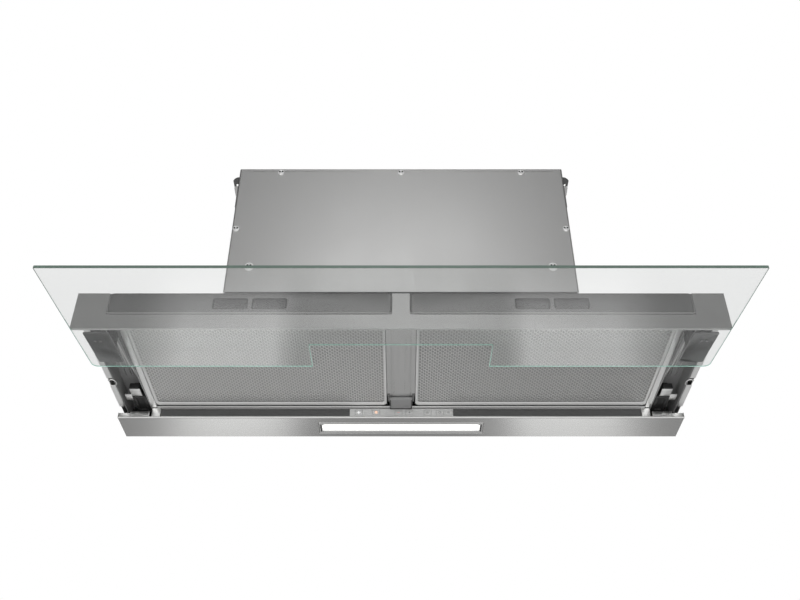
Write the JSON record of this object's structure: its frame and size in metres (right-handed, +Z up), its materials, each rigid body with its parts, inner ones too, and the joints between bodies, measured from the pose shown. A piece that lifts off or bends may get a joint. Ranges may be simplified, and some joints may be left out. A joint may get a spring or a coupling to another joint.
{
  "type": "range hood insert",
  "caption": "Slim pull-out range hood insert with a sliding glass screen, metal filters, a light bar with keys, a motor housing and a round exhaust spigot.",
  "frame": {"origin": "middle of the wall face, level with the underside of the light bar", "axes": "+X to the right of a person facing the front, +Y towards the wall, +Z up"},
  "size_m": [0.896, 0.4753, 0.3798],
  "materials": {
    "cover_steel": "fine brushed",
    "galvanised_steel": "galvanised sheet",
    "brushed_steel": "brushed along the width",
    "light_steel": "satin",
    "bright_fasteners": "bright",
    "filter_rim": "satin",
    "filter_metal": "expanded metal",
    "filter_fleece": "knitted metal",
    "black_plastic": "moulded",
    "dark_liner": "moulded",
    "rail_steel": "dark coating",
    "carrier_grey": "dark grey coating",
    "trim_grey": "fine grained",
    "catch_grey": "fine grained",
    "clip_steel": "dark coating",
    "fan_plastic": "moulded",
    "motor_paint": "satin",
    "mount_rubber": "matt",
    "capacitor_case": "smooth",
    "lens_rim": "bright",
    "lens": "diffusing, lit",
    "circuit_board": "lacquered",
    "control_panel": "silver lacquer",
    "key_face": "silver lacquer",
    "screen_glass": "clear toughened, green at the edge"
  },
  "bodies": {
    "hood": {"housing_shell": "galvanised_steel", "housing_frames": "galvanised_steel", "housing_cover": "cover_steel", "cover_screws": "bright_fasteners", "exhaust_collar": "black_plastic", "collar_screws": "bright_fasteners", "flap_pin": "bright_fasteners", "blower_scroll": "black_plastic", "inlet_rings": "galvanised_steel", "motor": "motor_paint", "motor_bracket": "galvanised_steel", "rubber_mounts": "mount_rubber", "capacitor": "capacitor_case", "terminal_box": "black_plastic", "terminal_lid": "black_plastic", "cable_gland": "black_plastic", "hanging_clip_left": "clip_steel", "hanging_clip_right": "clip_steel", "chassis_top": "galvanised_steel", "rear_wall": "galvanised_steel", "front_plate": "brushed_steel", "side_channel_left": "light_steel", "side_channel_right": "light_steel", "channel_liners": "dark_liner", "centre_bridge": "light_steel", "catch_pin": "bright_fasteners", "light_bar": "brushed_steel", "bar_cover": "light_steel", "bar_trim": "trim_grey", "bar_ends": "light_steel", "lens_frame": "lens_rim", "light_lens": "lens", "led_board": "circuit_board", "control_fascia": "control_panel", "control_board": "circuit_board", "guide_rails": "rail_steel", "soft_close_dampers": "black_plastic"},
    "screen": {"glass_screen": "screen_glass", "carrier_left": "carrier_grey", "carrier_right": "carrier_grey", "screen_sliders": "black_plastic"},
    "filter_left": {"filter_left_frame": "filter_rim", "filter_left_mesh": "filter_metal", "filter_left_pad": "filter_fleece"},
    "filter_right": {"filter_right_frame": "filter_rim", "filter_right_mesh": "filter_metal", "filter_right_pad": "filter_fleece"},
    "catch": {"filter_catch": "catch_grey"},
    "fan": {"impeller": "fan_plastic", "motor_shaft": "bright_fasteners"},
    "flap_l": {"flap_left": "black_plastic"},
    "flap_r": {"flap_right": "black_plastic"},
    "key_light_body": {"key_light": "key_face"},
    "key_power_body": {"key_power": "key_face"},
    "key_minus_body": {"key_minus": "key_face"},
    "key_plus_body": {"key_plus": "key_face"},
    "key_boost_body": {"key_boost": "key_face"},
    "key_timer_body": {"key_timer": "key_face"},
    "key_filter_body": {"key_filter": "key_face"}
  },
  "joints": [
    {"name": "screen_slide", "type": "slide", "parent": "hood", "child": "screen", "axis": [0, 0.9941, 0.1087], "range_m": [0, 0.13]},
    {"name": "filter_left_tilt", "type": "hinge", "parent": "hood", "child": "filter_left", "pos_m": [-0.2, -0.312, 0.023], "axis": [1, 0, 0], "range_deg": [-9, 0]},
    {"name": "filter_right_tilt", "type": "hinge", "parent": "hood", "child": "filter_right", "pos_m": [0.2, -0.312, 0.023], "axis": [1, 0, 0], "range_deg": [-9, 0]},
    {"name": "catch_turn", "type": "hinge", "parent": "hood", "child": "catch", "pos_m": [0, -0.088, 0.0185], "axis": [1, 0, 0], "range_deg": [-35, 0]},
    {"name": "fan_spin", "type": "hinge", "parent": "hood", "child": "fan", "pos_m": [0, -0.2, 0.165], "axis": [1, 0, 0], "continuous": true},
    {"name": "flap_left_swing", "type": "hinge", "parent": "hood", "child": "flap_l", "pos_m": [0, -0.15, 0.3196], "axis": [0, 1, 0], "range_deg": [0, 75]},
    {"name": "flap_right_swing", "type": "hinge", "parent": "hood", "child": "flap_r", "pos_m": [0, -0.15, 0.3196], "axis": [0, -1, 0], "range_deg": [0, 75]},
    {"name": "key_light_press", "type": "slide", "parent": "hood", "child": "key_light_body", "axis": [0, 1, 0], "range_m": [0, 0.0008], "stiffness_N_per_m": 600, "springref_m": -0.0004},
    {"name": "key_power_press", "type": "slide", "parent": "hood", "child": "key_power_body", "axis": [0, 1, 0], "range_m": [0, 0.0008], "stiffness_N_per_m": 600, "springref_m": -0.0004},
    {"name": "key_minus_press", "type": "slide", "parent": "hood", "child": "key_minus_body", "axis": [0, 1, 0], "range_m": [0, 0.0008], "stiffness_N_per_m": 600, "springref_m": -0.0004},
    {"name": "key_plus_press", "type": "slide", "parent": "hood", "child": "key_plus_body", "axis": [0, 1, 0], "range_m": [0, 0.0008], "stiffness_N_per_m": 600, "springref_m": -0.0004},
    {"name": "key_boost_press", "type": "slide", "parent": "hood", "child": "key_boost_body", "axis": [0, 1, 0], "range_m": [0, 0.0008], "stiffness_N_per_m": 600, "springref_m": -0.0004},
    {"name": "key_timer_press", "type": "slide", "parent": "hood", "child": "key_timer_body", "axis": [0, 1, 0], "range_m": [0, 0.0008], "stiffness_N_per_m": 600, "springref_m": -0.0004},
    {"name": "key_filter_press", "type": "slide", "parent": "hood", "child": "key_filter_body", "axis": [0, 1, 0], "range_m": [0, 0.0008], "stiffness_N_per_m": 600, "springref_m": -0.0004}
  ]
}
